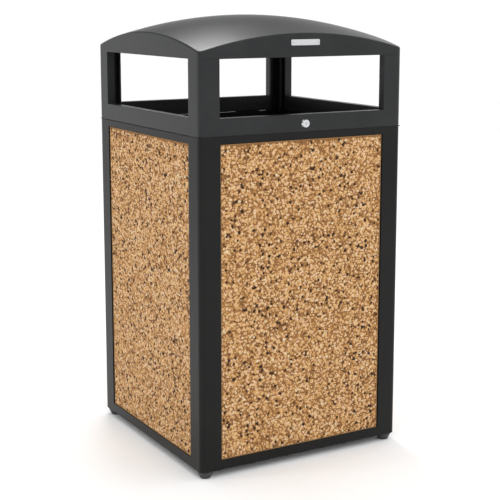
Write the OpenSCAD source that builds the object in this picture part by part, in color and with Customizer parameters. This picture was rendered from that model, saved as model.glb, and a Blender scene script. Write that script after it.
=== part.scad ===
// Square outdoor litter bin with an ash tray: a charcoal frame holds four exposed-aggregate
// stone panels round a lift-out liner, under a hinged, locking hood that is open on all
// four sides. Millimetres. The origin is on the floor under the centre of the frame, +Z is
// up, and the face with the lock looks along -Y.

/* [Body] */
// Width and depth of the frame
frame_w = 660; // [600:10:720]
// Height of the seam between the base and the hood
seam_z = 953; // [850:1:1000]
// Outer radius of the upright corners
corner_r = 15; // [8:1:24]
// Height of the levelling feet when they are screwed right in
foot_h = 22; // [20:1:30]
// Gap along the seam
seam_gap = 2; // [2:0.5:5]

/* [Base frame] */
// Width of each face of a base post
post_w = 64; // [50:1:80]
// Wall thickness of the base frame
wall = 6; // [4:0.5:8]
// How far the base posts turn inwards behind the panels
post_depth = 40; // [34:1:46]
// Height of the top rails
top_rail_h = 19.5; // [19:0.5:40]
// Height of the bottom rails
bottom_rail_h = 28; // [20:1:40]

/* [Panels] */
// Thickness of a stone panel
panel_t = 17; // [14:1:20]
// How far a panel sits behind the face of the frame
panel_recess = 3; // [2:0.5:5]
// Gap beside and above a panel
panel_gap = 2; // [1:0.5:4]

/* [Hood] */
// Height of the ring under the openings
ring_h = 47.5; // [40:0.5:50]
// Height of the openings
opening_h = 157; // [120:1:200]
// Width of each face of a hood post
hood_post_w = 62; // [50:1:80]
// How far the hood's rails and posts turn inwards
hood_depth = 24; // [20:1:30]
// Wall thickness of the hood's frame
hood_wall = 5; // [4:0.5:6]
// Height of a fascia at the corners
fascia_h = 12.5; // [8:0.5:20]
// Rise of the roof from a corner to the middle of one side
roof_rise = 47; // [20:1:70]
// Thickness of the roof
roof_t = 6; // [4:0.5:8]

/* [Liner] */
// Width of the liner over its rim
liner_w = 524; // [480:2:524]
// Width of the liner across its foot
liner_foot_w = 450; // [420:2:470]
// Wall thickness of the liner
liner_t = 4; // [3:0.5:5]

/* [Ash tray] */
// Length of the tray's bowl
tray_l = 220; // [160:10:240]
// Width of the tray's bowl
tray_w = 76; // [60:2:90]
// Depth of the tray's bowl
tray_h = 48; // [30:1:48]

/* [Hardware] */
// Diameter of the lock's head
lock_d = 27; // [24:1:30]
// Height of the lock above the seam
lock_rise = 23; // [20:1:26]
// Distance from the middle of the bin to the middle of a hinge
hinge_x = 190; // [100:5:210]
// Spacing of the four ground anchor holes
anchor_spacing = 360; // [300:10:380]
// Radius of the ground anchor holes
anchor_r = 6.5; // [5:0.5:8]

/* [Hidden] */
SIDES = ["front", "right", "back", "left"];
CORNERS = ["front_left", "front_right", "back_right", "back_left"];
$fn = 64;

CHARCOAL = "#3c3d3f";
STONE = "#b98c5c";
STEEL = "#b9bcbe";
BLACK = "#1d1d1e";

half = frame_w / 2;
base_top = seam_z - seam_gap / 2;
hood_bottom = seam_z + seam_gap / 2;
opening_z = hood_bottom + ring_h;
fascia_z = opening_z + opening_h;
corner_z = fascia_z + fascia_h + roof_t;
rail_half = half - post_w;
ring_half = half - hood_post_w;
inner = -half + hood_depth;

// Wall of the box-section rails
rail_wall = 4;

// Panel: its opening, its faces and its edges
panel_z = foot_h + bottom_rail_h;
panel_top = base_top - top_rail_h - panel_gap;
panel_half = half - post_w - panel_gap;
panel_front = half - panel_recess;
panel_back = panel_front - panel_t;

// Screws
screw_r = 2;
head_r = 4;
head_t = 2.5;

// Panel clips: an angle in the corner between a panel's back and a post
clip_leg = 16;
clip_t = 2;
clip_h = 24;
clip_end = 110;
clip_zs = [for (i = [0 : 2]) panel_z + clip_end + i * (panel_top - panel_z - 2 * clip_end) / 2];
clip_x = -half + post_w;
clip_y = -panel_back;
clip_panel_x = clip_x + 10;
clip_post_y = clip_y + clip_t + clip_leg / 2;
clip_screw_depth = 12;

// Floor pan: a cross-shaped plate with two ribs that hold the liner clear of the anchors
pan_t = 5;
pan_half = panel_back - 2;
rib_h = 20;
rib_w = 20;
rib_y = 120;
rib_half = 220;
pan_screw_r = 2.5;
pan_screw_inset = 31;
pan_screw_x = 150;
pan_head_t = 3;
drain_r = 5;
drain_xs = [-60, 0, 60];

// Levelling feet
foot_inset = 25;
foot_r = 15;
foot_top_r = 23.5;
foot_stem_r = 5;
foot_stem_top = 62;
run_fit = 0.05;
plate_t = 5;

// Liner
liner_z = panel_z + pan_t + rib_h + 0.5;
liner_top = base_top - 46.5;
liner_body_w = liner_w - 20;
liner_corner_r = 40;
liner_rim_h = 14;
liner_rim_t = 4;
grip_w = 120;
grip_h = 30;
grip_z = liner_top - 60;

// Bumpers between the base and the closed hood
bumper_r = 7;
bumper_x = 225;
bumper_y = half - hood_depth / 2;

// Roof
roof_curve_n = 24;
boss_r = 6;
boss_inset = 13;
boss_x = 150;
boss_xs = [-half + boss_inset, -boss_x, boss_x];
roof_screw_l = hood_wall + 7;

// Nameplate
nameplate_w = 92;
nameplate_h = 16;
nameplate_t = 1.2;
nameplate_z = fascia_z + 40;
rivet_x = nameplate_w / 2 - 6;
rivet_r = 1.5;
rivet_head_r = 2.5;

// Lock, whose axis runs along Y
lock_z = seam_z + lock_rise;
lock_proud = 7.5;
housing_r = 9.5;
housing_end = half - 35;
bezel_edge = 2.5;
plug_r = 6.5;
nut_t = 5;
nut_r = 13;
cam_t = 3;
cam_w = 10;
cam_l = 46;
cam_hook = 16;
cam_hook_h = 10;
cam_y = -housing_end + 0.5;
cam_screw_r = 2.5;
cam_screw_l = 8;

// Strike: a plate behind the front rail, with a keeper that the locked cam hooks under
strike_xs = [-18, 41];
strike_t = 2;
strike_z = base_top - 12;
strike_bottom = strike_z - 7;
strike_screw_xs = [-10, 33];
keeper_xs = [7, 24];
keeper_z = lock_z - 28;
keeper_t = 4;

// Hinges: the axis lies in the back face, halfway up the seam
hinge_l = 80;
hinge_r = 5;
pin_r = 2.5;
leaf_t = 2;
leaf_gap = 1;
middle_l = 31;
leaf_screw_x = 28;
hinge_limit = 95;
stop_gap = 0.3;
knuckle_h = hinge_r + 1;
hood_leaf_h = 36;
base_leaf_h = 20;
leaf_head_t = 1.6;

// Ash tray, which hangs on two brackets inside the front ring
tray_t = 1.2;
tray_front = half - 46;
tray_rim = opening_z - 22;
tray_lip = 8;
tray_corner_r = 14;
arm_t = 3;
arm_h = 18;
arm_x = tray_l / 2 + 2;
bracket_w = 40;
bracket_h = 32;
bracket_t = 2;
bracket_z = tray_rim - arm_h;
bracket_screw_xs = [arm_x + 13, arm_x + 31];
bracket_screw_z = tray_rim + 6;

// ---------------------------------------------------------------- shared shapes

// Turns front-facing geometry to side 0 front, 1 right, 2 back, 3 left
module to_side(i) { rotate(90 * i) children(); }

// Square from the origin to [w, w] with only the corner at the origin rounded
module corner_square(w, r) {
    translate([r, 0]) square([w - r, w]);
    translate([0, r]) square([w, w - r]);
    translate([r, r]) circle(r);
}

// Rectangle with four rounded corners, centred
module round_rect(w, d, r) {
    square([w - 2 * r, d], center = true);
    square([w, d - 2 * r], center = true);
    for (x = [-1, 1], y = [-1, 1]) translate([x * (w / 2 - r), y * (d / 2 - r)]) circle(r);
}

// Section of a post in the front left corner: an angle whose ends turn inwards
module post_section(w, t, depth) {
    translate([-half, -half]) difference() {
        corner_square(w, corner_r);
        translate([t, t]) corner_square(w - 2 * t, corner_r - t);
        translate([depth, depth]) square(w);
    }
}

// Box between two opposite corners
module block(low, high) { translate(low) cube(high - low); }

// Cylinder along +Y from y0 to y1
module rod_y(x, y0, y1, z, r) {
    translate([x, y0, z]) rotate([-90, 0, 0]) cylinder(h = y1 - y0, r = r);
}

// Cylinder along +X from x0 to x1
module rod_x(x0, x1, y, z, r) {
    translate([x0, y, z]) rotate([0, 90, 0]) cylinder(h = x1 - x0, r = r);
}

// Screw through a plate of thickness t into the inner wall of a front rail
module inner_screw(x, z, t) {
    rod_y(x, inner - rail_wall - 3, inner + t, z, screw_r);
    rod_y(x, inner + t, inner + t + head_t, z, head_r);
}

// Places a shape at both hinges
module at_hinges() { for (x = [-hinge_x, hinge_x]) translate([x, 0, 0]) children(); }

// ---------------------------------------------------------------- base

module base_post(i) {
    color(CHARCOAL) to_side(i) difference() {
        translate([0, 0, foot_h]) linear_extrude(base_top - foot_h)
            post_section(post_w, wall, post_depth);
        for (z = clip_zs) {
            rod_x(clip_x - wall - 1, clip_x + 1, clip_post_y, z, screw_r);
            rod_y(clip_post_y, clip_x - wall - 1, clip_x + 1, z, screw_r);
        }
    }
}

// Box-section rail, with the seats for the strike or for the hinges cut in it
module base_top_rail(i) {
    z0 = base_top - top_rail_h;
    color(CHARCOAL) difference() {
        to_side(i) difference() {
            block([-rail_half, -half, z0], [rail_half, inner, base_top]);
            block([-rail_half - 1, -half + rail_wall, z0 + rail_wall],
                  [rail_half + 1, inner - rail_wall, base_top - rail_wall]);
        }
        if (i == 0) for (x = strike_screw_xs) rod_y(x, inner - rail_wall - 1, inner + 1, strike_z, screw_r);
        if (i == 2) {
            hinge_notches();
            at_hinges() leaf_holes(-1);
        }
    }
}

module base_bottom_rail(i) {
    back = -half + post_depth;
    color(CHARCOAL) to_side(i) difference() {
        block([-rail_half, -half, foot_h], [rail_half, back, panel_z]);
        block([-rail_half - 1, -half + wall, foot_h + wall], [rail_half + 1, back + 1, panel_z - wall]);
        for (x = [-pan_screw_x, pan_screw_x]) translate([x, -half + pan_screw_inset, panel_z - wall - 1])
            cylinder(h = wall + 2, r = pan_screw_r);
    }
}

module floor_pan() {
    arm_half = rail_half - 1;
    color(CHARCOAL) difference() {
        union() {
            block([-pan_half, -arm_half, panel_z], [pan_half, arm_half, panel_z + pan_t]);
            block([-arm_half, -pan_half, panel_z], [arm_half, pan_half, panel_z + pan_t]);
            for (s = [-1, 1]) translate([-rib_half, s * rib_y - rib_w / 2, panel_z + pan_t])
                cube([2 * rib_half, rib_w, rib_h]);
        }
        for (x = [-1, 1], y = [-1, 1])
            translate([x * anchor_spacing / 2, y * anchor_spacing / 2, panel_z - 1])
                cylinder(h = pan_t + 2, r = anchor_r);
        for (a = [0 : 90 : 270]) rotate(a) for (x = [-pan_screw_x, pan_screw_x])
            translate([x, -half + pan_screw_inset, panel_z - 1]) cylinder(h = pan_t + 2, r = pan_screw_r);
        for (x = drain_xs) translate([x, 0, panel_z - 1]) cylinder(h = pan_t + 2, r = drain_r);
    }
}

module floor_pan_screws() {
    color(STEEL) for (a = [0 : 90 : 270]) rotate(a) for (x = [-pan_screw_x, pan_screw_x])
        translate([x, -half + pan_screw_inset, 0]) {
            translate([0, 0, panel_z - wall - 4]) cylinder(h = wall + 4 + pan_t, r = pan_screw_r);
            translate([0, 0, panel_z + pan_t]) cylinder(h = pan_head_t, r = 2 * pan_screw_r);
        }
}

module stone_panel(i) {
    color(STONE) to_side(i) difference() {
        block([-panel_half, -panel_front, panel_z], [panel_half, -panel_back, panel_top]);
        for (x = [-clip_panel_x, clip_panel_x], z = clip_zs)
            rod_y(x, clip_y - clip_screw_depth, clip_y + 1, z, screw_r);
    }
}

// Angle clip in the left-hand corner behind the front panel
module clip(z) {
    low = z - clip_h / 2;
    high = z + clip_h / 2;
    difference() {
        union() {
            block([clip_x, clip_y, low], [clip_x + clip_leg, clip_y + clip_t, high]);
            block([clip_x, clip_y, low], [clip_x + clip_t, clip_y + clip_t + clip_leg, high]);
        }
        rod_y(clip_panel_x, clip_y - 1, clip_y + clip_t + 1, z, screw_r);
        rod_x(clip_x - 1, clip_x + clip_t + 1, clip_post_y, z, screw_r);
    }
}

module clip_screws(z) {
    rod_y(clip_panel_x, clip_y - clip_screw_depth, clip_y + clip_t, z, screw_r);
    rod_y(clip_panel_x, clip_y + clip_t, clip_y + clip_t + head_t, z, head_r);
    rod_x(clip_x - wall - 2, clip_x + clip_t, clip_post_y, z, screw_r);
    rod_x(clip_x + clip_t, clip_x + clip_t + head_t, clip_post_y, z, head_r);
}

// Repeats a left-hand clip or its screws at every fixing of every panel
module at_clips() { for (i = [0 : 3], m = [0, 1]) to_side(i) mirror([m, 0, 0]) children(); }

module panel_clips() { color(STEEL) at_clips() for (z = clip_zs) clip(z); }
module panel_screws() { color(STEEL) at_clips() for (z = clip_zs) clip_screws(z); }

// Plates that close the feet of the posts and carry the levelling feet
module foot_plates() {
    color(STEEL) for (i = [0 : 3]) to_side(i) translate([0, 0, foot_h]) linear_extrude(plate_t)
        translate([-half, -half]) difference() {
            translate([wall, wall]) corner_square(post_w - 2 * wall, corner_r - wall);
            translate([post_depth, post_depth]) square(post_w);
            translate([foot_inset, foot_inset]) circle(foot_stem_r + run_fit);
        }
}

// Cone that stands on its narrow end, with a stem that goes up through the plate
module levelling_foot(i) {
    top = foot_h - 0.5;
    color(BLACK) to_side(i) translate([-half + foot_inset, -half + foot_inset, 0]) rotate_extrude()
        polygon([
            [0, 0], [foot_r - 1, 0], [foot_r, 1], [foot_top_r, top - 3], [foot_top_r, top],
            [foot_stem_r, top], [foot_stem_r, foot_stem_top], [0, foot_stem_top]
        ]);
}

// Tapered bucket: inset moves every face inwards
module bucket(inset, z0, z1) {
    foot_side = liner_foot_w - 2 * inset;
    top_side = liner_body_w - 2 * inset;
    slice = 0.5;
    hull() {
        translate([0, 0, z0]) linear_extrude(slice)
            round_rect(foot_side, foot_side, liner_corner_r - inset, $fn = 32);
        translate([0, 0, z1 - slice]) linear_extrude(slice)
            round_rect(top_side, top_side, liner_corner_r - inset, $fn = 32);
    }
}

// Bucket with a rim that is turned outwards and down, and a hand hole in two sides
module rigid_liner() {
    rim_r = liner_corner_r + 2 * liner_rim_t;
    under_rim = liner_w - 2 * liner_rim_t;
    color(BLACK) difference() {
        union() {
            bucket(0, liner_z, liner_top);
            translate([0, 0, liner_top - liner_rim_h]) linear_extrude(liner_rim_h)
                round_rect(liner_w, liner_w, rim_r, $fn = 32);
        }
        bucket(liner_t, liner_z + liner_t, liner_top + 1);
        translate([0, 0, liner_top - liner_rim_h - 1]) linear_extrude(liner_rim_h + 1 - liner_rim_t)
            difference() {
                round_rect(under_rim, under_rim, rim_r - liner_rim_t, $fn = 32);
                round_rect(liner_body_w, liner_body_w, liner_corner_r, $fn = 32);
            }
        block([-half, -grip_w / 2, grip_z - grip_h / 2], [half, grip_w / 2, grip_z + grip_h / 2]);
    }
}

module hood_bumpers() {
    color(BLACK) for (i = [0 : 3]) to_side(i) for (x = [-bumper_x, bumper_x])
        translate([x, -bumper_y, base_top]) cylinder(h = seam_gap - 0.3, r = bumper_r);
}

// ---------------------------------------------------------------- hood

// Box-section rail, with the seats for the lock and the tray or for the hinges cut in it
module hood_ring(i) {
    color(CHARCOAL) difference() {
        to_side(i) difference() {
            block([-ring_half, -half, hood_bottom], [ring_half, inner, opening_z]);
            block([-ring_half - 1, -half + rail_wall, hood_bottom + rail_wall],
                  [ring_half + 1, inner - rail_wall, opening_z - rail_wall]);
        }
        if (i == 0) {
            rod_y(0, -half - 1, inner + 1, lock_z, housing_r);
            for (s = [-1, 1], x = bracket_screw_xs)
                rod_y(s * x, inner - rail_wall - 1, inner + 1, bracket_screw_z, screw_r);
        }
        if (i == 2) {
            hinge_notches();
            at_hinges() leaf_holes(1);
        }
    }
}

module hood_post(i) {
    color(CHARCOAL) to_side(i) translate([0, 0, hood_bottom]) linear_extrude(fascia_z - hood_bottom)
        post_section(hood_post_w, hood_wall, hood_depth);
}

// Height of the roof's top face over a point
function roof_z(x, y) = corner_z + roof_rise * (2 - pow(x / half, 2) - pow(y / half, 2));

// One side of the band above the openings: arched to the roof, mitred at the corners,
// with a lip along its lower edge that the roof's screws are sunk in
module hood_fascia(i) {
    arch = [
        for (k = [0 : roof_curve_n])
            let (x = half - k * frame_w / roof_curve_n)
            [x, roof_z(x, half) - roof_t]
    ];
    color(CHARCOAL) to_side(i) difference() {
        intersection() {
            translate([0, half, 0]) rotate([90, 0, 0]) linear_extrude(frame_w)
                polygon(concat([[-half, fascia_z], [half, fascia_z]], arch));
            linear_extrude(frame_w * 3) intersection() {
                polygon([[0, 0], [-half, -half], [half, -half]]);
                round_rect(frame_w, frame_w, corner_r);
            }
        }
        translate([0, 0, fascia_z - 1]) linear_extrude(frame_w)
            square(frame_w - 2 * hood_depth, center = true);
        translate([0, 0, fascia_z + hood_wall]) linear_extrude(frame_w)
            round_rect(frame_w - 2 * wall, frame_w - 2 * wall, corner_r - wall);
        for (x = concat(boss_xs, [half - boss_inset]))
            translate([x, -half + boss_inset, fascia_z - 1]) {
                cylinder(h = hood_wall + 2, r = screw_r);
                cylinder(h = head_t + 1, r = head_r);
            }
    }
}

// Grid lines across the roof: close together at the rounded corners
function roof_lines() = let (flat = half - corner_r) concat(
    [for (k = [0 : 4]) -half + corner_r * k / 4],
    [for (k = [1 : roof_curve_n - 1]) -flat + 2 * flat * k / roof_curve_n],
    [for (k = [0 : 4]) flat + corner_r * k / 4]
);

// Pulls the points of the corner squares in to a quarter circle
function rounded(x, y) = let (
        flat = half - corner_r,
        a = max(abs(x) - flat, 0),
        b = max(abs(y) - flat, 0),
        s = a > 0 && b > 0 ? max(a, b) / norm([a, b]) : 1
    ) [sign(x) * (abs(x) - a + a * s), sign(y) * (abs(y) - b + b * s)];

module dome() {
    g = roof_lines();
    n = len(g);
    flat_pts = [for (y = g, x = g) rounded(x, y)];
    top = [for (p = flat_pts) [p[0], p[1], roof_z(p[0], p[1])]];
    under = [for (p = top) p - [0, 0, roof_t]];
    m = n * n;
    edge = concat(
        [for (k = [0 : n - 2]) k],
        [for (k = [0 : n - 2]) k * n + n - 1],
        [for (k = [0 : n - 2]) m - 1 - k],
        [for (k = [0 : n - 2]) (n - 1 - k) * n]
    );
    polyhedron(concat(top, under), concat(
        [for (j = [0 : n - 2], i = [0 : n - 2]) each [
            [j * n + i, (j + 1) * n + i, (j + 1) * n + i + 1],
            [j * n + i, (j + 1) * n + i + 1, j * n + i + 1],
            [m + j * n + i, m + (j + 1) * n + i + 1, m + (j + 1) * n + i],
            [m + j * n + i, m + j * n + i + 1, m + (j + 1) * n + i + 1]]],
        [for (k = [0 : len(edge) - 1]) let (a = edge[k], b = edge[(k + 1) % len(edge)]) each [
            [a, b, m + b], [a, m + b, m + a]]]
    ));
}

// Places a shape at the four corner and eight side fixings of the roof
module at_bosses() {
    for (i = [0 : 3]) to_side(i) for (x = boss_xs) translate([x, -half + boss_inset, 0]) children();
}

module hood_roof() {
    boss_z = fascia_z + hood_wall;
    color(CHARCOAL) difference() {
        union() {
            dome();
            for (i = [0 : 3]) to_side(i) for (x = boss_xs) translate([x, -half + boss_inset, boss_z])
                cylinder(h = roof_z(x, half) - roof_t / 2 - boss_z, r = boss_r);
        }
        at_bosses() translate([0, 0, fascia_z]) cylinder(h = roof_screw_l + 1, r = screw_r);
    }
}

module roof_screws() {
    color(BLACK) at_bosses() translate([0, 0, fascia_z]) {
        cylinder(h = roof_screw_l, r = screw_r);
        cylinder(h = head_t, r = head_r);
    }
}

module nameplate() {
    color("#dedfdf") translate([0, -half, nameplate_z]) rotate([90, 0, 0]) linear_extrude(nameplate_t)
        difference() {
            round_rect(nameplate_w, nameplate_h, 3);
            for (x = [-rivet_x, rivet_x]) translate([x, 0]) circle(rivet_r);
        }
}

module nameplate_rivets() {
    face = -half - nameplate_t;
    color(STEEL) for (x = [-rivet_x, rivet_x]) {
        rod_y(x, face, -half, nameplate_z, rivet_r);
        rod_y(x, face - 1, face, nameplate_z, rivet_head_r);
    }
}

// ---------------------------------------------------------------- lock

module lock_housing() {
    face = -half - lock_proud;
    color(STEEL) difference() {
        union() {
            translate([0, -half, lock_z]) rotate([90, 0, 0]) rotate_extrude() polygon([
                [0, 0], [lock_d / 2, 0], [lock_d / 2, bezel_edge],
                [lock_d / 2 - 3, lock_proud], [0, lock_proud]
            ]);
            rod_y(0, -half, -housing_end, lock_z, housing_r);
        }
        rod_y(0, face - 1, -housing_end + 1, lock_z, plug_r + run_fit);
    }
}

module lock_nut() {
    color(STEEL) difference() {
        translate([0, inner, lock_z]) rotate([-90, 0, 0]) cylinder(h = nut_t, r = nut_r, $fn = 6);
        rod_y(0, inner - 1, inner + nut_t + 1, lock_z, housing_r);
    }
}

// Plug with a keyway in its face and a hole for the cam's screw in its end
module lock_plug() {
    face = -half - lock_proud + 1;
    key = [1.6, 6, 8];
    color(STEEL) difference() {
        rod_y(0, face, cam_y, lock_z, plug_r);
        block([-key[0] / 2, face - 1, lock_z - key[2] / 2], [key[0] / 2, face + key[1], lock_z + key[2] / 2]);
        rod_y(0, cam_y - cam_screw_l, cam_y + 1, lock_z, cam_screw_r);
    }
}

// Hooked cam, drawn hanging down as it is when locked and turned up to its rest position
module lock_cam() {
    color(STEEL) translate([0, cam_y + cam_t, lock_z]) rotate([0, 90, 0]) rotate([90, 0, 0])
        linear_extrude(cam_t) difference() {
            union() {
                translate([-cam_w / 2, -cam_l]) square([cam_w, cam_l]);
                translate([-cam_w / 2, -cam_l]) square([cam_w / 2 + cam_hook, cam_hook_h]);
                circle(plug_r + 1);
            }
            circle(cam_screw_r);
        }
}

module cam_screw() {
    color(STEEL) {
        rod_y(0, cam_y - cam_screw_l + 1, cam_y + cam_t, lock_z, cam_screw_r);
        rod_y(0, cam_y + cam_t, cam_y + cam_t + head_t, lock_z, 2 * cam_screw_r);
    }
}

module lock_strike() {
    color(STEEL) difference() {
        union() {
            block([strike_xs[0], inner, strike_bottom], [strike_xs[1], inner + strike_t, keeper_z]);
            block([keeper_xs[0], inner, keeper_z - keeper_t], [keeper_xs[1], -tray_front - 2, keeper_z]);
        }
        for (x = strike_screw_xs) rod_y(x, inner - 1, inner + strike_t + 1, strike_z, screw_r);
    }
}

module strike_screws() {
    color(STEEL) for (x = strike_screw_xs) inner_screw(x, strike_z, strike_t);
}

// ---------------------------------------------------------------- hinges

// Clearance for the barrels in the back rails
module hinge_notches() {
    at_hinges() rod_x(-hinge_l / 2 - 1, hinge_l / 2 + 1, half, seam_z, hinge_r + 0.7);
}

// Screw holes of one leaf: up is 1 for the hood's and -1 for the base's
function leaf_screw_z(up) = up > 0 ? seam_z + 24 : base_top - 12;
module leaf_holes(up) {
    for (x = [-leaf_screw_x, 0, leaf_screw_x])
        rod_y(x, half - rail_wall - 1, half + leaf_t + 1, leaf_screw_z(up), screw_r);
}

// Stretches of the barrel that belong to one leaf
function knuckles(up) = up > 0
    ? [[-middle_l / 2, middle_l / 2]]
    : [[-hinge_l / 2, -middle_l / 2 - leaf_gap / 2], [middle_l / 2 + leaf_gap / 2, hinge_l / 2]];

module hinge_leaf(x, up) {
    far = up > 0 ? hood_leaf_h : -base_leaf_h;
    near = up * knuckle_h;
    bore = up > 0 ? pin_r + run_fit : pin_r;
    color(STEEL) translate([x, 0, 0]) difference() {
        union() {
            block([-hinge_l / 2, half, seam_z + min(far, near)],
                  [hinge_l / 2, half + leaf_t, seam_z + max(far, near)]);
            for (k = knuckles(up)) {
                rod_x(k[0], k[1], half, seam_z, hinge_r);
                block([k[0], half, seam_z + min(0, near)], [k[1], half + leaf_t, seam_z + max(0, near)]);
            }
            if (up > 0) hinge_stop();
        }
        rod_x(-hinge_l, hinge_l, half, seam_z, bore);
        leaf_holes(up);
    }
}

// Heel on the hood's knuckle that comes down on the base's leaf when the hood is fully open
module hinge_stop() {
    translate([-middle_l / 2, half, seam_z]) rotate([hinge_limit, 0, 0])
        block([0, leaf_t + stop_gap, -lock_proud], [middle_l, hinge_r, -pin_r - 0.8]);
}

module hinge_pins() {
    color(STEEL) at_hinges() rod_x(-hinge_l / 2, hinge_l / 2, half, seam_z, pin_r);
}

module leaf_screws(up) {
    color(STEEL) at_hinges() for (x = [-leaf_screw_x, 0, leaf_screw_x]) {
        rod_y(x, half - rail_wall - 1, half + leaf_t, leaf_screw_z(up), screw_r);
        rod_y(x, half + leaf_t, half + leaf_t + leaf_head_t, leaf_screw_z(up), head_r);
    }
}

// ---------------------------------------------------------------- ash tray

module ash_tray() {
    color(STEEL) translate([0, -tray_front + tray_w / 2, tray_rim]) difference() {
        union() {
            translate([0, 0, -tray_h]) linear_extrude(tray_h) round_rect(tray_l, tray_w, tray_corner_r);
            linear_extrude(tray_t) round_rect(tray_l + 2 * tray_lip, tray_w, tray_corner_r);
        }
        translate([0, 0, -tray_h + tray_t]) linear_extrude(tray_h + 1)
            round_rect(tray_l - 2 * tray_t, tray_w - 2 * tray_t, tray_corner_r - tray_t);
    }
}

module tray_brackets() {
    color(STEEL) for (m = [0, 1]) mirror([m, 0, 0]) difference() {
        union() {
            block([arm_x, inner, bracket_z], [arm_x + bracket_w, inner + bracket_t, bracket_z + bracket_h]);
            block([arm_x, inner, bracket_z], [arm_x + arm_t, -tray_front + tray_w - 8, tray_rim]);
        }
        for (x = bracket_screw_xs) rod_y(x, inner - 1, inner + bracket_t + 1, bracket_screw_z, screw_r);
    }
}

module tray_bracket_screws() {
    color(STEEL) for (s = [-1, 1], x = bracket_screw_xs) inner_screw(s * x, bracket_screw_z, bracket_t);
}

// ---------------------------------------------------------------- nodes

for (i = [0 : 3]) {
    base_post(i);
    base_top_rail(i);
    base_bottom_rail(i);
    stone_panel(i);
    levelling_foot(i);
    hood_ring(i);
    hood_post(i);
    hood_fascia(i);
}
floor_pan();
floor_pan_screws();
panel_clips();
panel_screws();
foot_plates();
rigid_liner();
hood_bumpers();
hood_roof();
roof_screws();
nameplate();
nameplate_rivets();
lock_housing();
lock_nut();
lock_plug();
lock_cam();
cam_screw();
lock_strike();
strike_screws();
hinge_leaf(-hinge_x, 1);  // hood_hinge_leaf_left
hinge_leaf(hinge_x, 1);  // hood_hinge_leaf_right
hinge_leaf(-hinge_x, -1);  // base_hinge_leaf_left
hinge_leaf(hinge_x, -1);  // base_hinge_leaf_right
hinge_pins();
leaf_screws(1);  // hood_hinge_screws
leaf_screws(-1);  // base_hinge_screws
ash_tray();
tray_brackets();
tray_bracket_screws();
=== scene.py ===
import math

import bmesh
import bpy
import numpy as np
from mathutils import Matrix, Vector


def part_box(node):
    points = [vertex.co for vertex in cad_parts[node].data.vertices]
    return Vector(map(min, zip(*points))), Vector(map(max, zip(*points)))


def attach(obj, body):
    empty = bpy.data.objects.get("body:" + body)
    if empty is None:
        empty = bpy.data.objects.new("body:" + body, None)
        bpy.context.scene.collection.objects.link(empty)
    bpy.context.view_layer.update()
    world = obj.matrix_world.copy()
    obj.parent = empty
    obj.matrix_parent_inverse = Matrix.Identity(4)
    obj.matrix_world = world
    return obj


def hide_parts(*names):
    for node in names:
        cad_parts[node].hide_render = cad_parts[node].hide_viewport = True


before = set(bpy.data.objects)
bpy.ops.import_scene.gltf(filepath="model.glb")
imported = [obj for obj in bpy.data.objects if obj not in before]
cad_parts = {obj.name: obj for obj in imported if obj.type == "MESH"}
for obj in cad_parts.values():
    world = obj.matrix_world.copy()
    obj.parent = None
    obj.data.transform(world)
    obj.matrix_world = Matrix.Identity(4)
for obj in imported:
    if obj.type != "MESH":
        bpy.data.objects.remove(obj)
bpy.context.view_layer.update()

# ------------------------------------------------------------------ camera
# The bin is looked at a little from above and from its left, so that the face with the lock
# and the left side both show. A small shift of the long lens keeps the posts nearly upright.

view_turn = math.radians(-30.09)
view_rise = math.radians(9.3)
view_distance = 3.6486
aim_right = 0.0136
aim_height = 0.7144
lens_mm = 86.57
lens_shift = -0.1
sensor_mm = 36
far_clip = 400

camera_back = Vector((
    math.sin(view_turn) * math.cos(view_rise),
    -math.cos(view_turn) * math.cos(view_rise),
    math.sin(view_rise),
))
camera_right = Vector((math.cos(view_turn), math.sin(view_turn), 0))
lens = bpy.data.cameras.new("camera")
lens.sensor_width = sensor_mm
lens.lens = lens_mm
lens.shift_y = lens_shift
lens.clip_end = far_clip
camera = bpy.data.objects.new("camera", lens)
camera.location = camera_right * aim_right + Vector((0, 0, aim_height)) + camera_back * view_distance
camera.rotation_mode = "QUATERNION"
camera.rotation_quaternion = (-camera_back).to_track_quat("-Z", "Y")
bpy.context.scene.collection.objects.link(camera)
bpy.context.scene.camera = camera
bpy.context.scene.view_settings.view_transform = "Standard"

# ------------------------------------------------------------------ floor and studio light
# A wide floor of matt white board runs out of sight. The room is a white tent with a dim wall
# behind the bin and on its left, which keeps the gloss of the dark plastic low. A softbox over
# the back lights the roof, a tall one lights the left side, and a wide one the front.

floor_reach = 150
board_mottle_mm = 667
room_light = 1.22
wall_ramp = [
    (0.0, "#ffffff"), (1.0, "#ffffff"), (0.17, "#ffffff"), (0.22, "#808080"), (0.5, "#808080"),
    (0.72, "#ffffff"),
]
wall_lean = -0.8
wall_fade = 0.4


def linear(code):
    """Linear colour, with alpha, of an sRGB hex value."""
    shares = [int(code[k:k + 2], 16) / 255 for k in (1, 3, 5)]
    return [c / 12.92 if c <= 0.04045 else ((c + 0.055) / 1.055) ** 2.4 for c in shares] + [1]


def add(tree, kind, inputs=None, ramp=(), **settings):
    """Adds a node. An input is a value, a socket, or a node whose first output is meant."""
    node = tree.nodes.new("ShaderNode" + kind)
    for name, value in settings.items():
        setattr(node, name, value)
    for name, value in (inputs or {}).items():
        if isinstance(value, bpy.types.Node):
            value = value.outputs[0]
        if isinstance(value, bpy.types.NodeSocket):
            tree.links.new(value, node.inputs[name])
        else:
            node.inputs[name].default_value = value
    for k, (position, code) in enumerate(ramp):
        stops = node.color_ramp.elements
        stop = stops[k] if k < 2 else stops.new(position)
        stop.position = position
        stop.color = linear(code)
    return node


def new_material(name):
    """An empty material: itself, its node tree, and the place on the object in metres."""
    material = bpy.data.materials.new(name)
    material.use_nodes = True
    material.node_tree.nodes.clear()
    return material, material.node_tree, add(material.node_tree, "TexCoord").outputs["Object"]


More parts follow.
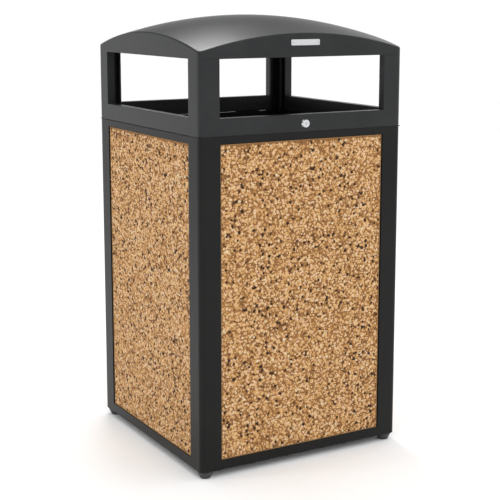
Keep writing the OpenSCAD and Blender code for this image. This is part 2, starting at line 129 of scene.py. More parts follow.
def matt_white_board():
    """Uncoated display board: a faint mottle and no gloss."""
    material, tree, place = new_material("matt_white_board")
    mottle = add(tree, "TexNoise", {"Vector": place, "Scale": 1000 / board_mottle_mm, "Detail": 3})
    tone = add(tree, "ValToRGB", {"Fac": mottle}, ramp=[(0.3, "#f8f8f8"), (0.7, "#fcfcfc")])
    shader = add(tree, "BsdfPrincipled", {"Base Color": tone, "Roughness": 0.9})
    shader.inputs["Specular IOR Level"].default_value = 0.2
    add(tree, "OutputMaterial", {"Surface": shader})
    return material


def show(name, bm, *materials):
    """Makes an object of a bmesh, in the frame's own place."""
    mesh = bpy.data.meshes.new(name)
    bm.to_mesh(mesh)
    bm.free()
    for material in materials:
        mesh.materials.append(material)
    made = bpy.data.objects.new(name, mesh)
    bpy.context.scene.collection.objects.link(made)
    return made


def softbox(name, place, aim_z, width, height, power):
    """A rectangular diffused white lamp that looks from place to a height on the bin's axis."""
    lamp = bpy.data.lights.new(name, "AREA")
    lamp.shape = "RECTANGLE"
    lamp.size = width
    lamp.size_y = height
    lamp.energy = power
    holder = bpy.data.objects.new(name, lamp)
    holder.location = place
    holder.rotation_mode = "QUATERNION"
    holder.rotation_quaternion = (Vector((0, 0, aim_z)) - Vector(place)).to_track_quat("-Z", "Y")
    bpy.context.scene.collection.objects.link(holder)


board = bmesh.new()
bmesh.ops.create_grid(board, x_segments=1, y_segments=1, size=floor_reach)
show("floor", board, matt_white_board())


def white_room():
    """White all round, apart from the dim wall, which fades out towards the front right."""
    world = bpy.data.worlds.new("white_room")
    world.use_nodes = True
    tree = world.node_tree
    tree.nodes.clear()
    way = add(tree, "SeparateXYZ", {"Vector": add(tree, "TexCoord").outputs["Generated"]})
    wall = add(tree, "ValToRGB", {"Fac": way.outputs["Z"]}, ramp=wall_ramp)
    facing = {0: way.outputs["X"], 1: wall_lean, 2: way.outputs["Y"]}
    side = add(tree, "Math", facing, operation="MULTIPLY_ADD")
    behind = add(tree, "MapRange", {"Value": side, "From Min": 0.0, "From Max": wall_fade})
    tone = add(tree, "Mix", {0: behind, 6: linear("#ffffff"), 7: wall}, data_type="RGBA")
    shine = add(tree, "Background", {"Color": tone.outputs[2], "Strength": room_light})
    add(tree, "OutputWorld", {"Surface": shine})
    return world


bpy.context.scene.world = white_room()

softbox("roof_softbox", (0.6, 2.1, 4.1), aim_z=1.2, width=0.9, height=0.7, power=38)
softbox("left_softbox", (-3.0, 0.55, 1.3), aim_z=0.8, width=0.5, height=2.4, power=18)
softbox("front_softbox", (-0.8, -3.4, 3.2), aim_z=0.9, width=1.6, height=1.2, power=24)

# ------------------------------------------------------------------ base frame
# Four corner posts, four top rails and four bottom rails make the base's frame. They are
# charcoal structural-foam mouldings with a fine grain, bonded together at the post edges.
# Their plastic is the hood's, drawn darker and duller as painted shade low on the bin.

frame_edge = 0.0012
joint_gap = 1e-4
weld_reach = 1e-5
flat_turn = math.radians(0.5)
sharp_turn = math.radians(35)
crisp_turn = math.radians(50)
flow_mm = 143
grain_mm = 2.2
grain_depth_mm = 0.25
along = {"front": 0, "right": 1, "back": 0, "left": 1}
corners = ("front_left", "front_right", "back_right", "back_left")


def moulded_plastic(name, dark, pale, roughness, depth_mm=grain_depth_mm, specular=0.24, grain=grain_mm):
    """Grained injection moulding: a soft sheen, broken by the grain, with slow flow marks.
    The real grain is about 0.5 mm across; it is drawn at 2 to 3 mm so that it shows."""
    material, tree, place = new_material(name)
    flow = add(tree, "TexNoise", {"Vector": place, "Scale": 1000 / flow_mm, "Detail": 4, "Roughness": 0.6})
    tone = add(tree, "ValToRGB", {"Fac": flow}, ramp=[(0.3, dark), (0.7, pale)])
    dull = add(tree, "MapRange", {"Value": flow, "To Min": roughness - 0.04, "To Max": roughness + 0.05})
    pits = add(tree, "TexNoise", {"Vector": place, "Scale": 1000 / grain, "Detail": 2})
    bump = add(tree, "Bump", {"Height": pits, "Strength": 0.5, "Distance": depth_mm / 1000})
    shader = add(tree, "BsdfPrincipled", {"Base Color": tone, "Roughness": dull, "Normal": bump})
    shader.inputs["Specular IOR Level"].default_value = specular
    add(tree, "OutputMaterial", {"Surface": shader})
    return material


def merged(node):
    """A bmesh of a CAD node with its loose triangles joined and its flat faces whole."""
    bm = bmesh.new()
    bm.from_mesh(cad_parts[node].data)
    bmesh.ops.remove_doubles(bm, verts=bm.verts, dist=weld_reach)
    bmesh.ops.dissolve_limit(bm, angle_limit=flat_turn, verts=bm.verts, edges=bm.edges)
    return bm


def soften(bm, width, segments, where):
    """Rounds the sharp edges of a bmesh, apart from the short ones round small holes."""
    def picked(edge):
        middle = (edge.verts[0].co + edge.verts[1].co) / 2
        sharp = edge.is_manifold and edge.calc_face_angle() > sharp_turn
        return sharp and edge.calc_length() > 2.2 * width and where(middle)

    chosen = [edge for edge in bm.edges if picked(edge)]
    bmesh.ops.bevel(
        bm, geom=chosen, offset=width, segments=segments, profile=0.5, affect="EDGES",
        clamp_overlap=True, material=-1,
    )


def finish_piece(made, body, node):
    """Smooth shading that stays crisp at true corners, and the piece's place in the frame."""
    bm = bmesh.new()
    bm.from_mesh(made.data)
    for edge in bm.edges:
        edge.smooth = edge.calc_face_angle(0) < crisp_turn
    for face in bm.faces:
        face.smooth = True
    bm.to_mesh(made.data)
    bm.free()
    normals = made.modifiers.new("normals", "WEIGHTED_NORMAL")
    normals.keep_sharp = True
    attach(made, body)
    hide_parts(node)


def softened(node, name, edge, material, body, segments=2, where=lambda middle: True):
    """Puts a piece of the same shape in the place of a CAD node, with its edges rounded."""
    bm = merged(node)
    soften(bm, edge, segments, where)
    finish_piece(show(name, bm, material), body, node)


def frame_rail(node, axis, material, body):
    """A rail of the base or the hood, whose two end faces stay sharp for the bonded joints."""
    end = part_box(node)[1][axis] - joint_gap
    softened(
        node, f"{node}_moulding", frame_edge, material, body, 3,
        lambda middle: abs(middle[axis]) < end)


# The charcoal is drawn darker and less glossy than the hood's copy of the same plastic: painted shade, for
# the lower part of the bin that gets less light.
base_plastic_painted_shade = moulded_plastic(
    "base_plastic_painted_shade", "#101010", "#161615", 0.34, specular=0.17)

for corner in corners:
    node = f"base_post_{corner}"
    softened(node, f"{node}_moulding", frame_edge, base_plastic_painted_shade, "base", 3)

for level in ("top", "bottom"):
    for side, axis in along.items():
        frame_rail(f"base_{level}_rail_{side}", axis, base_plastic_painted_shade, "base")

# ------------------------------------------------------------------ floor pan
# One black moulded plate closes the frame's foot. It has two ribs for the liner to stand on,
# four holes for ground anchors, and eight socket-head bolts into the bottom rails.

pan_edge = 0.001
socket_share = 0.45
cross_long = 0.62
cross_short = 0.2
cross_half_arm = math.radians(16)
recess_floor = 0.45
screw_dome = 0.75
spangle_mm = 3


def solids_of(bm):
    """The separate solids of a bmesh, each as a list of vertices."""
    seen = set()
    found = []
    for start in bm.verts:
        if start in seen:
            continue
        seen.add(start)
        solid = [start]
        for vertex in solid:
            near = [edge.other_vert(vertex) for edge in vertex.link_edges]
            fresh = [other for other in near if other not in seen]
            seen.update(fresh)
            solid.extend(fresh)
        found.append(solid)
    return found


def hexagon(turn):
    """Share of the head's radius where a hexagon socket's wall stands."""
    return socket_share * math.cos(math.pi / 6) / math.cos((turn % (math.pi / 3)) - math.pi / 6)


def cross(turn):
    """Share of the head's radius where a cross recess's wall stands."""
    off_arm = abs((turn + math.pi / 4) % (math.pi / 2) - math.pi / 4)
    return cross_long if off_arm < cross_half_arm else cross_short


def fasteners(node, recess, dome):
    """Screws or rivets in the place of each solid of a CAD node, heads and shanks to its sizes.
    A head has a domed top with the recess sunk in it, and the shank has a chamfered end."""
    bm = bmesh.new()
    source = merged(node)
    for solid in solids_of(source):
        points = np.array([vertex.co for vertex in solid])
        low, high = points.min(0), points.max(0)
        size = high - low
        axis = int(np.argmax(abs(size - np.median(size))))
        across = [k for k in range(3) if k != axis]
        middle = (low + high) / 2
        reach = np.hypot(*(points[:, across] - middle[across]).T)
        head_r = reach.max()
        widest = points[reach > 0.99 * head_r, axis]
        up = 1 if widest.mean() > middle[axis] else -1
        shank_r = reach[(points[:, axis] - widest.mean()) * up < -1e-4].max(initial=0.6 * head_r)
        shank_r = min(shank_r, 0.62 * head_r)
        head_h = np.ptp(widest)
        length = size[axis] - head_h
        turned = Vector((0, 0, 1)).rotation_difference(Vector([up * float(k == axis) for k in range(3)]))
        seat = Vector(middle)
        seat[axis] = (high if up > 0 else low)[axis] - up * head_h
        place = Matrix.Translation(seat) @ turned.to_matrix().to_4x4()
        screw_head(bm, place, head_r, head_h, recess, dome)
        bmesh.ops.create_cone(
            bm, cap_ends=True, segments=20, radius1=0.8 * shank_r, radius2=shank_r, depth=length,
            matrix=place @ Matrix.Translation((0, 0, -length / 2)),
        )
    source.free()
    return bm


def screw_head(bm, place, radius, height, recess, dome):
    """One head, seated at place: rings that rise into the dome and drop into the recess."""
    rings = [(0.45, lambda turn: 1.0), (0.85, lambda turn: 0.5 + dome / 2), (1.0, lambda turn: dome)]
    if recess:
        rings += [(rise, lambda turn: recess(turn) * dome) for rise in (1.0, recess_floor)]
    disc = bmesh.ops.create_circle(bm, cap_ends=True, segments=24, radius=radius, matrix=place)
    face = disc["verts"][0].link_faces[0]
    into = place.inverted()
    for rise, share in rings:
        face = bmesh.ops.extrude_discrete_faces(bm, faces=[face])["faces"][0]
        for vertex in face.verts:
            spot = into @ vertex.co
            turn = math.atan2(spot.y, spot.x)
            reach = radius * share(turn)
            vertex.co = place @ Vector((reach * math.cos(turn), reach * math.sin(turn), height * rise))


def fixed(node, name, recess, material, body, dome=screw_dome):
    """Puts finished screws or rivets in the place of a CAD node."""
    finish_piece(show(name, fasteners(node, recess, dome), material), body, node)


def bright_zinc():
    """Zinc-plated steel: a cool grey metal with a faint crystal pattern in its gloss."""
    material, tree, place = new_material("zinc_plated_steel")
    crystals = add(tree, "TexVoronoi", {"Vector": place, "Scale": 1000 / spangle_mm})
    dull = add(tree, "MapRange", {"Value": crystals.outputs["Color"], "To Min": 0.28, "To Max": 0.44})
    shader = add(tree, "BsdfPrincipled", {
        "Base Color": linear("#b4b7ba"), "Metallic": 1.0, "Roughness": dull})
    add(tree, "OutputMaterial", {"Surface": shader})
    return material


zinc_plated_steel = bright_zinc()
black_pan_plastic = moulded_plastic("black_pan_plastic", "#131314", "#1a1a1b", 0.55, depth_mm=0.3)

softened("floor_pan", "floor_pan_moulding", pan_edge, black_pan_plastic, "base")
fixed("floor_pan_screws", "floor_pan_bolts", hexagon, zinc_plated_steel, "base")

# ------------------------------------------------------------------ levelling feet
# A black-lacquered steel foot screws up into a plate in each post. It is a turned cone that
# stands on its narrow end, with a threaded stem. The plates are zinc-plated steel.

foot_sole_r = 0.015
foot_cone_h = 0.0185
foot_top = 0.0215
foot_chamfer = 0.0009
stem_r = 0.005
thread_pitch = 0.0015
thread_depth = 0.0008
foot_plate_edge = 0.0006
rubbing_mm = 3.85


def black_lacquer():
    """Black lacquer on steel: smooth and dark, with fine specks of dust and rubbing."""
    material, tree, place = new_material("lacquered_steel")
    rubbing = add(tree, "TexNoise", {"Vector": place, "Scale": 1000 / rubbing_mm, "Detail": 4})
    tone = add(tree, "ValToRGB", {"Fac": rubbing}, ramp=[(0.35, "#151516"), (0.9, "#4a4a4c")])
    dull = add(tree, "MapRange", {"Value": rubbing, "To Min": 0.34, "To Max": 0.5})
    shader = add(tree, "BsdfPrincipled", {"Base Color": tone, "Roughness": dull})
    add(tree, "OutputMaterial", {"Surface": shader})
    return material


def levelling_foot(node):
    """Spins the foot's outline, with its thread as rings, about its own upright axis."""
    low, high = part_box(node)
    wide_r = (high.x - low.x) / 2
    root_r = stem_r - thread_depth
    outline = [
        (0, 0), (foot_sole_r - foot_chamfer, 0), (foot_sole_r, foot_chamfer), (wide_r, foot_cone_h),
        (wide_r, foot_top - foot_chamfer), (wide_r - foot_chamfer, foot_top), (root_r, foot_top),
    ]
    for k in range(int((high.z - foot_top) / thread_pitch) - 1):
        outline.append((stem_r, foot_top + (k + 0.5) * thread_pitch))
        outline.append((root_r, foot_top + (k + 1) * thread_pitch))
    outline.append((root_r, high.z))
    outline.append((0, high.z))
    bm = bmesh.new()
    line = [bm.verts.new((r, 0, z)) for r, z in outline]
    edges = [bm.edges.new(pair) for pair in zip(line, line[1:])]
    bmesh.ops.spin(
        bm, geom=line + edges, cent=(0, 0, 0), axis=(0, 0, 1), angle=math.tau, steps=40, use_merge=True)
    bmesh.ops.remove_doubles(bm, verts=bm.verts, dist=1e-6)
    bmesh.ops.recalc_face_normals(bm, faces=bm.faces)
    bmesh.ops.translate(bm, verts=bm.verts, vec=((low.x + high.x) / 2, (low.y + high.y) / 2, 0))
    return bm


lacquered_steel = black_lacquer()

for corner in corners:
    node = f"levelling_foot_{corner}"
    made = show(f"foot_{corner}_turned", levelling_foot(node), lacquered_steel)
    finish_piece(made, f"foot_{corner}", node)

softened("foot_plates", "foot_plates_pressed", foot_plate_edge, zinc_plated_steel, "base")

# ------------------------------------------------------------------ stone panels
# Each side is filled by a cast panel of exposed aggregate: river pebbles 7 to 14 mm long in
# tans and browns, crowded together in a bed of sandy cement with a narrow plain margin.
# The bed is the margin's cement drawn darker, as painted shade in the gaps between pebbles.

pebble_pitch = 0.0082
pebble_rise = 0.0022
panel_margin = 0.0014
margin_rise = 0.0008
margin_slope = 0.0008
bed_depth = 0.0003
pebble_seed = 11
mottle_mm = 1.667
sand_mm = 2
pebble_colours = [
    (0.0, "#2c1c10"), (1.0, "#efdab4"), (0.06, "#3c2716"), (0.075, "#7d5630"), (0.14, "#b07f48"),
    (0.24, "#cf9e63"), (0.5, "#dfb27a"), (0.7, "#e7be8b"), (0.86, "#eac798"), (0.95, "#e6bd9b"),
]


def river_pebbles():
    """Washed pebbles: each has its own colour from its tone, mottled, with a slight polish."""
    material, tree, place = new_material("river_pebbles")
    tone = add(tree, "Attribute", attribute_name="tone", attribute_type="GEOMETRY")
    colour = add(tree, "ValToRGB", {"Fac": tone.outputs["Fac"]}, ramp=pebble_colours)
    mottle = add(tree, "TexNoise", {
        "Vector": place, "Scale": 1000 / mottle_mm, "Detail": 3, "Roughness": 0.7})
    shade = add(tree, "ValToRGB", {"Fac": mottle}, ramp=[(0.3, "#c9c3ba"), (0.72, "#ffffff")])
    mixed = add(tree, "Mix", {0: 1.0, 6: colour, 7: shade}, data_type="RGBA", blend_type="MULTIPLY")
    bump = add(tree, "Bump", {"Height": mottle, "Strength": 0.4, "Distance": 0.0003})
    shader = add(tree, "BsdfPrincipled", {"Base Color": mixed.outputs[2], "Roughness": 0.5, "Normal": bump})
    shader.inputs["Specular IOR Level"].default_value = 0.2
    add(tree, "OutputMaterial", {"Surface": shader})
    return material


def sandy_cement(name, dark, pale):
    """Cement paste with sand in it: matt, gritty, and blotched where it dried unevenly."""
    material, tree, place = new_material(name)
    sand = add(tree, "TexNoise", {"Vector": place, "Scale": 1000 / sand_mm, "Detail": 4, "Roughness": 0.75})
    tone = add(tree, "ValToRGB", {"Fac": sand}, ramp=[(0.3, dark), (0.7, pale)])
    bump = add(tree, "Bump", {"Height": sand, "Strength": 0.7, "Distance": 0.0006})
    shader = add(tree, "BsdfPrincipled", {"Base Color": tone, "Roughness": 0.9, "Normal": bump})
    add(tree, "OutputMaterial", {"Surface": shader})
    return material


def one_pebble():
    """Upper half of a faceted ball of radius 1, closed underneath."""
    bm = bmesh.new()
    bmesh.ops.create_uvsphere(bm, u_segments=6, v_segments=4, radius=1)
    everything = bm.verts[:] + bm.edges[:] + bm.faces[:]
    bmesh.ops.bisect_plane(
        bm, geom=everything, dist=1e-4, plane_co=(0, 0, 0), plane_no=(0, 0, 1), clear_inner=True)
    bmesh.ops.holes_fill(bm, edges=[edge for edge in bm.edges if edge.is_boundary], sides=0)
    bmesh.ops.recalc_face_normals(bm, faces=bm.faces)
    return bm


def pebble_field(name, low, high, seed, turn, material):
    """Copies the pebble over the front panel's face, gives each copy its own place, size,
    outline and tone, and turns the whole field to its side of the bin."""
    random = np.random.default_rng(seed)
    width = high.x - low.x - 2 * panel_margin
    height = high.z - low.z - 2 * panel_margin
    row_pitch = pebble_pitch * math.sin(math.pi / 3)
    column, row = np.meshgrid(np.arange(int(width / pebble_pitch)), np.arange(int(height / row_pitch)))
    column, row = column.ravel(), row.ravel()
    count = len(row)

    field = show(name, one_pebble())
    copies = field.modifiers.new("copies", "ARRAY")
    copies.use_relative_offset = False
    copies.count = count
    seen = bpy.context.evaluated_depsgraph_get()
    seen.update()
    mesh = bpy.data.meshes.new_from_object(field.evaluated_get(seen))
    field.modifiers.clear()
    field.data = mesh

    shape = np.empty(len(mesh.vertices) * 3)
    mesh.vertices.foreach_get("co", shape)
    shape = shape.reshape(count, -1, 3)
    outline = random.uniform(0.82, 1.16, shape.shape[:2])
    length = pebble_pitch * random.uniform(0.4, 0.86, (count, 1))
    slim = random.uniform(0.55, 0.95, (count, 1))
    swing = random.uniform(0, math.tau, (count, 1))
    shift = pebble_pitch * random.uniform(-0.34, 0.34, (2, count, 1))
    rise = (pebble_rise + bed_depth) * random.uniform(0.5, 1.0, (count, 1))
    tone = random.uniform(0, 1, count)

    u = shape[:, :, 0] * length * outline
    v = shape[:, :, 1] * length * outline * slim
    x = (column[:, None] + 0.25 + 0.5 * (row[:, None] % 2)) * pebble_pitch - width / 2
    z = (row[:, None] + 0.5) * row_pitch - height / 2
    x = x + shift[0] + u * np.cos(swing) - v * np.sin(swing)
    z = z + shift[1] + u * np.sin(swing) + v * np.cos(swing)
    placed = np.empty(shape.shape)
    placed[:, :, 0] = np.clip(x, -width / 2, width / 2)
    placed[:, :, 1] = low.y + pebble_rise + bed_depth - shape[:, :, 2] * rise
    placed[:, :, 2] = np.clip(z, -height / 2, height / 2) + (low.z + high.z) / 2
    mesh.vertices.foreach_set("co", placed.ravel())
    tones = mesh.attributes.new("tone", "FLOAT", "POINT")
    tones.data.foreach_set("value", np.repeat(tone, shape.shape[1]))
    mesh.transform(Matrix.Rotation(turn, 4, "Z"))
    mesh.materials.append(material)
    mesh.shade_smooth()
    mesh.update()
    return field


def cast_slab(low, high, turn):
    """The panel's body: a slab whose face is sunk inside a narrow raised margin."""
    bm = bmesh.new()
    bmesh.ops.create_cube(bm, size=1)
    bmesh.ops.scale(bm, verts=bm.verts, vec=high - low)
    bmesh.ops.translate(bm, verts=bm.verts, vec=(low + high) / 2)
    bm.faces.ensure_lookup_table()
    face = min(bm.faces, key=lambda f: f.calc_center_median().y)
    for vertex in face.verts:
        vertex.co.y += margin_rise
    bmesh.ops.inset_individual(bm, faces=[face], thickness=panel_margin)
    bmesh.ops.inset_individual(bm, faces=[face], thickness=margin_slope, depth=margin_rise - pebble_rise)
    face.material_index = 1
    bmesh.ops.rotate(bm, verts=bm.verts, cent=(0, 0, 0), matrix=Matrix.Rotation(turn, 3, "Z"))
    return bm


pebbles_material = river_pebbles()
margin_cement = sandy_cement("margin_cement", "#8f6d48", "#b08a5c")
# The same cement as the margin, drawn darker: painted shade in the gaps between the pebbles.
bed_cement_painted_shade = sandy_cement("bed_cement_painted_shade", "#6d4829", "#9a6c3b")
panel_low, panel_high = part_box("stone_panel_front")

for k, side in enumerate(along):
    turn = k * math.pi / 2
    slab = cast_slab(panel_low, panel_high, turn)
    made = show(f"stone_panel_{side}_slab", slab, margin_cement, bed_cement_painted_shade)
    finish_piece(made, "base", f"stone_panel_{side}")
    field = pebble_field(
        f"stone_panel_{side}_pebbles", panel_low, panel_high, pebble_seed + k, turn, pebbles_material)
    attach(field, "base")

# ------------------------------------------------------------------ panel clips
# Bent angles of zinc-plated steel hold each panel to its posts, three a side. Each has one
# cross-head screw into the panel's back and one into the post's return.

sheet_edge = 0.0004

softened("panel_clips", "panel_clips_bent", sheet_edge, zinc_plated_steel, "base")
fixed("panel_screws", "panel_clip_screws", cross, zinc_plated_steel, "base")

# ------------------------------------------------------------------ liner
# The lift-out bucket is blow-moulded polyethylene with a turned-down rim and a hand grip in
# each side wall. It stands loose on the floor pan's ribs.

liner_edge = 0.0012
liner_polyethylene = moulded_plastic(
    "liner_polyethylene", "#17181a", "#202123", 0.38, depth_mm=0.35, grain=3.0)

softened("rigid_liner", "liner_bucket", liner_edge, liner_polyethylene, "liner")

# ------------------------------------------------------------------ bumpers
# Eight rubber pads are stuck on the base's top rails, so that the hood closes softly and
# stands evenly on the base. Strips of foam tape on the posts and on the front and side rails
# keep rain out of the seam. The back rail has none, because the hinges stand there.

pad_edge = 0.0004
tape_set_back = 0.0016
tape_width = 0.003
tape_height = 0.0019
bloom_mm = 2.86


def soft_rubber():
    """Black rubber with a dry bloom on it."""
    material, tree, place = new_material("soft_rubber")
    bloom = add(tree, "TexNoise", {"Vector": place, "Scale": 1000 / bloom_mm, "Detail": 3})
    tone = add(tree, "ValToRGB", {"Fac": bloom}, ramp=[(0.3, "#101010"), (0.75, "#1f1f20")])
    shader = add(tree, "BsdfPrincipled", {"Base Color": tone, "Roughness": 0.8})
    add(tree, "OutputMaterial", {"Surface": shader})
    return material


def tape_strip(bm, node, axis, end_gap):
    """Adds one strip on top of a post or rail, set back from its outer face across the axis."""
    low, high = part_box(node)
    outer = max(low[axis], high[axis], key=abs)
    size = high - low
    size[1 - axis] -= 2 * end_gap
    size[axis] = tape_width
    size.z = tape_height
    middle = (low + high) / 2
    middle[axis] = outer - math.copysign(tape_set_back + tape_width / 2, outer)
    middle.z = high.z + tape_height / 2
    strip = bmesh.ops.create_cube(bm, size=1)["verts"]
    bmesh.ops.scale(bm, verts=strip, vec=size)
    bmesh.ops.translate(bm, verts=strip, vec=middle)


def seam_tape(name, node, axes, end_gap):
    """The tape on one post, where two strips meet at the corner, or on one rail."""
    tape = bmesh.new()
    for axis in axes:
        tape_strip(tape, node, axis, end_gap)
    made = show(f"seam_tape_{name}", tape, rubber)
    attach(made, "base")


rubber = soft_rubber()
softened("hood_bumpers", "hood_bumper_pads", pad_edge, rubber, "base")

for corner in corners:
    seam_tape(corner, f"base_post_{corner}", (0, 1), tape_set_back)

for side in ("front", "left", "right"):
    seam_tape(side, f"base_top_rail_{side}", (1 - along[side],), 0)

# ------------------------------------------------------------------ lock strike
# A bent plate of zinc-plated steel behind the front rail carries the keeper that the lock's
# cam hooks under. Two cross-head screws hold it to the rail.

softened("lock_strike", "lock_strike_plate", sheet_edge, zinc_plated_steel, "base")
fixed("strike_screws", "lock_strike_screws", cross, zinc_plated_steel, "base")

# ------------------------------------------------------------------ hinges
# Two butt hinges of dark powder-coated steel join the hood to the base at the back. Their
# leaves are screwed on with three pan-head screws each, and plain pins run in the knuckles.

pin_edge = 0.0005
peel_mm = 1.11


def powder_coat():
    """Dark powder coat: a fine orange-peel skin with a low sheen."""
    material, tree, place = new_material("powder_coat")
    peel = add(tree, "TexNoise", {"Vector": place, "Scale": 1000 / peel_mm, "Detail": 1})
    tone = add(tree, "ValToRGB", {"Fac": peel}, ramp=[(0.2, "#26272a"), (0.8, "#323336")])
    bump = add(tree, "Bump", {"Height": peel, "Strength": 0.4, "Distance": 0.0002})
    shader = add(tree, "BsdfPrincipled", {"Base Color": tone, "Roughness": 0.38, "Normal": bump})
    add(tree, "OutputMaterial", {"Surface": shader})
    return material


coated_steel = powder_coat()

for hand in ("left", "right"):
    for body in ("base", "hood"):
        node = f"{body}_hinge_leaf_{hand}"
        softened(node, f"{node}_pressed", sheet_edge, coated_steel, body)

softened("hinge_pins", "hinge_pins_turned", pin_edge, zinc_plated_steel, "base")

for body in ("base", "hood"):
    node = f"{body}_hinge_screws"
    fixed(node, f"{node}_cross", cross, coated_steel, body)

# ------------------------------------------------------------------ hood frame
# The hood's frame has a ring of four rails under the openings, four corner posts, and four
# arched fascias over the openings. All are mitred and bonded, of the same plastic as the base,
# drawn paler and glossier than the base's copy as painted light falling from above.

fascia_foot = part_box("hood_fascia_front")[0].z
mitre_gap = 1e-3
# The same charcoal plastic as the base's, drawn paler and glossier: painted light, for the upper part of
# the bin that gets more light.
hood_plastic_painted_light = moulded_plastic("hood_plastic_painted_light", "#1c1d1e", "#252627", 0.34)


def post_edge(middle):
    """True for a post's edges below the fascias, and false where it meets them."""
    return middle.z < fascia_foot - joint_gap


def fascia_foot_edge(middle):
    """True for the edges along a fascia's foot, and false at its mitres and its arch."""
    return middle.z < fascia_foot + joint_gap and abs(abs(middle.x) - abs(middle.y)) > mitre_gap


for side, axis in along.items():
    frame_rail(f"hood_ring_{side}", axis, hood_plastic_painted_light, "hood")

bonded_parts = [(f"hood_post_{corner}", post_edge) for corner in corners]
bonded_parts += [(f"hood_fascia_{side}", fascia_foot_edge) for side in along]
for node, where in bonded_parts:
    softened(node, f"{node}_moulding", frame_edge, hood_plastic_painted_light, "hood", 3, where)

# ------------------------------------------------------------------ roof
# The roof is one dome of the hood's plastic, arched both ways, whose rim is flush with the
# fascias. Twelve bosses under it take black screws that come up through the fascias' lips.

roof_low, roof_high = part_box("hood_roof")
roof_rise = 0.047
roof_wall = 0.006
roof_corner_r = 0.015
roof_rim_r = 0.0035
roof_lines = 36
boss_r = 0.006
boss_inset = 0.013
boss_reach = 0.15


def roof_height(x, y):
    """Height of the roof's top face over a point."""
    return roof_high.z - roof_rise * ((x / roof_high.x) ** 2 + (y / roof_high.x) ** 2)


def domed_roof():
    """A square plate with round corners, cut into a fine mesh and raised into the dome."""
    half = roof_high.x
    bm = bmesh.new()
    bmesh.ops.create_grid(bm, x_segments=1, y_segments=1, size=half)
    bmesh.ops.bevel(
        bm, geom=bm.verts[:], offset=roof_corner_r, offset_type="OFFSET", segments=10, profile=0.5,
        affect="VERTICES", material=-1)
    plate = bmesh.ops.extrude_face_region(bm, geom=bm.faces[:])
    top = [v for v in plate["geom"] if isinstance(v, bmesh.types.BMVert)]
    bmesh.ops.translate(bm, verts=top, vec=(0, 0, roof_wall))
    for k in range(1, roof_lines):
        cut = half * (2 * k / roof_lines - 1)
        for normal in ((1, 0, 0), (0, 1, 0)):
            everything = bm.verts[:] + bm.edges[:] + bm.faces[:]
            spot = Vector(normal) * cut
            bmesh.ops.bisect_plane(bm, geom=everything, dist=1e-6, plane_co=spot, plane_no=normal)
    bmesh.ops.recalc_face_normals(bm, faces=bm.faces)
    rim = [e for e in bm.edges
           if all(v.co.z > roof_wall / 2 for v in e.verts)
           and abs(e.link_faces[0].normal.z - e.link_faces[1].normal.z) > 0.5]
    bmesh.ops.bevel(
        bm, geom=rim, offset=roof_rim_r, segments=4, profile=0.5, affect="EDGES", clamp_overlap=True,
        material=-1)
    for vertex in bm.verts:
        vertex.co.z += roof_height(vertex.co.x, vertex.co.y) - roof_wall
    return bm


def add_bosses(bm):
    """Twelve round bosses between the fascias' lips and the roof."""
    y = boss_inset - roof_high.x
    foot = roof_low.z
    for k in range(4):
        for x in (y, -boss_reach, boss_reach):
            top = roof_height(x, y) - roof_wall / 2
            place = Matrix.Translation((x, y, (foot + top) / 2))
            bmesh.ops.create_cone(
                bm, cap_ends=True, segments=24, radius1=boss_r, radius2=boss_r, depth=top - foot,
                matrix=Matrix.Rotation(k * math.pi / 2, 4, "Z") @ place)


roof = domed_roof()
add_bosses(roof)
finish_piece(show("hood_roof_dome", roof, hood_plastic_painted_light), "hood", "hood_roof")

fixed("roof_screws", "roof_fixing_screws", cross, lacquered_steel, "hood")

# ------------------------------------------------------------------ nameplate
# A blank plate of pale enamelled steel is riveted to the front fascia. Its face is sunk
# inside a narrow raised border.

nameplate_edge = 0.0003
rivet_dome = 0.45
ripple_mm = 8.33


def pale_enamel():
    """Vitreous enamel: hard, glossy and slightly uneven."""
    material, tree, place = new_material("pale_enamel")
    ripple = add(tree, "TexNoise", {"Vector": place, "Scale": 1000 / ripple_mm, "Detail": 2})
    tone = add(tree, "ValToRGB", {"Fac": ripple}, ramp=[(0.3, "#b8babb"), (0.7, "#bcbebf")])
    bump = add(tree, "Bump", {"Height": ripple, "Strength": 0.1, "Distance": 0.0001})
    shader = add(tree, "BsdfPrincipled", {"Base Color": tone, "Roughness": 0.25, "Normal": bump})
    add(tree, "OutputMaterial", {"Surface": shader})
    return material


softened("nameplate", "nameplate_enamelled", nameplate_edge, pale_enamel(), "hood")
fixed(
    "nameplate_rivets", "nameplate_rivet_heads", None, zinc_plated_steel, "hood",
    rivet_dome)

# ------------------------------------------------------------------ lock
# A chrome-plated cam lock: the stepped housing is held in the front rail by a nut, and the
# plug turns in it with a key. The hooked steel cam is screwed on the plug's inner end.

housing_edge = 0.0005
nut_edge = 0.0006
plug_edge = 0.0003
wear_mm = 3.33


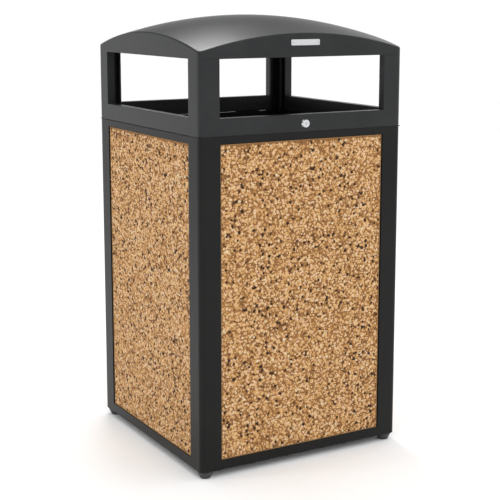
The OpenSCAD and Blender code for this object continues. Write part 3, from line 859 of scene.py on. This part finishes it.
def chrome_plate():
    """Bright chrome: near-mirror metal with faint wear from keys."""
    material, tree, place = new_material("chrome_plate")
    wear = add(tree, "TexNoise", {"Vector": place, "Scale": 1000 / wear_mm, "Detail": 4})
    dull = add(tree, "MapRange", {"Value": wear, "To Min": 0.12, "To Max": 0.26})
    shader = add(tree, "BsdfPrincipled", {
        "Base Color": linear("#d4d7d9"), "Metallic": 1.0, "Roughness": dull})
    add(tree, "OutputMaterial", {"Surface": shader})
    return material


bright_chrome = chrome_plate()

softened("lock_housing", "lock_housing_turned", housing_edge, bright_chrome, "hood")
softened("lock_nut", "lock_nut_hexagon", nut_edge, zinc_plated_steel, "hood")
softened("lock_plug", "lock_plug_keyed", plug_edge, bright_chrome, "lock")
softened("lock_cam", "lock_cam_stamped", sheet_edge, zinc_plated_steel, "lock")
fixed("cam_screw", "lock_cam_screw", cross, zinc_plated_steel, "lock")

# ------------------------------------------------------------------ ash tray
# The lift-out tray is pressed from stainless sheet, with a lip at each end. The lips hang on
# two bent brackets, each screwed to the inside of the hood's front ring.

tray_edge = 0.0005
brush_mm = 0.833
brush_draw = 0.03


def brushed_stainless():
    """Stainless sheet brushed along the tray: fine bright lines and a satin gloss."""
    material, tree, place = new_material("brushed_stainless")
    drawn = add(tree, "Mapping", {"Vector": place, "Scale": (brush_draw, 1, 1)})
    lines = add(tree, "TexNoise", {"Vector": drawn, "Scale": 1000 / brush_mm, "Detail": 3})
    tone = add(tree, "ValToRGB", {"Fac": lines}, ramp=[(0.3, "#a4a7a9"), (0.7, "#c3c6c8")])
    dull = add(tree, "MapRange", {"Value": lines, "To Min": 0.26, "To Max": 0.42})
    bump = add(tree, "Bump", {"Height": lines, "Strength": 0.25, "Distance": 0.0001})
    shader = add(tree, "BsdfPrincipled", {
        "Base Color": tone, "Metallic": 1.0, "Roughness": dull, "Normal": bump})
    add(tree, "OutputMaterial", {"Surface": shader})
    return material


softened("ash_tray", "ash_tray_pressed", tray_edge, brushed_stainless(), "ash_tray")
softened("tray_brackets", "tray_brackets_bent", sheet_edge, zinc_plated_steel, "hood")
fixed(
    "tray_bracket_screws", "tray_bracket_cross_screws", cross, zinc_plated_steel, "hood")
